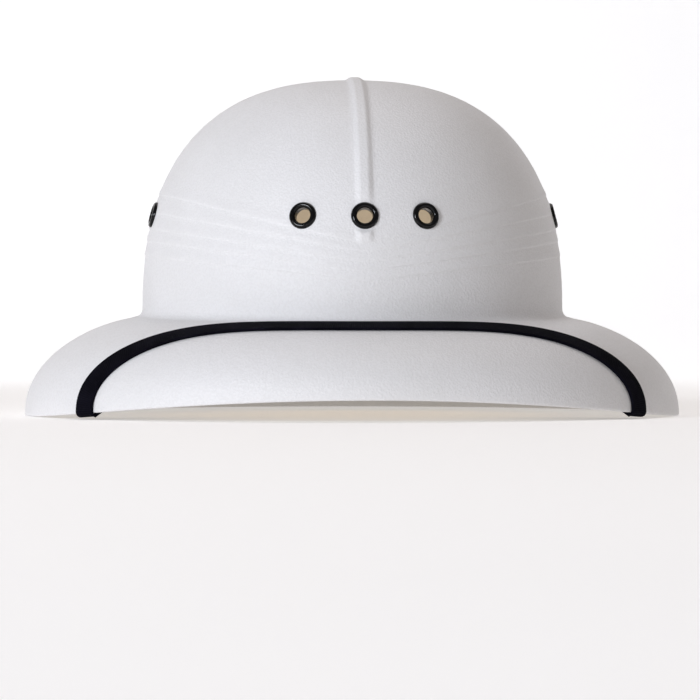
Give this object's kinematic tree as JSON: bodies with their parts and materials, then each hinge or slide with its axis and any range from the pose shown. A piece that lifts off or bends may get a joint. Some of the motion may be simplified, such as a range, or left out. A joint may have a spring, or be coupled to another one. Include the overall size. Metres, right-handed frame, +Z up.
{
  "type": "pith helmet",
  "caption": "Pith helmet: one pressed shell with a round crown, a long downturned brim, crown ridge and pleats, vent eyelets, a chin strap over the brim and a sweatband inside.",
  "frame": {"origin": "on the surface that the helmet rests on, under the middle of its length and width", "axes": "+X across the helmet, +Y from front to back along its longest side, +Z up through the crown"},
  "size_m": [0.303, 0.3456, 0.1563],
  "materials": {
    "pressed_shell": "white pebble-grained shell, smooth warm white inside",
    "black_eyelet": "glossy black enamel",
    "strap_webbing": "matt blue-black woven tape",
    "sweatband_leather": "matt cream leathercloth",
    "edge_binding": "pale woven binding"
  },
  "bodies": {
    "root": {"shell": "pressed_shell", "eyelet_front_left": "black_eyelet", "eyelet_front_centre": "black_eyelet", "eyelet_front_right": "black_eyelet", "eyelet_side_left": "black_eyelet", "eyelet_side_right": "black_eyelet", "chin_strap": "strap_webbing", "sweatband": "sweatband_leather", "sweatband_edge": "edge_binding"}
  },
  "joints": []
}
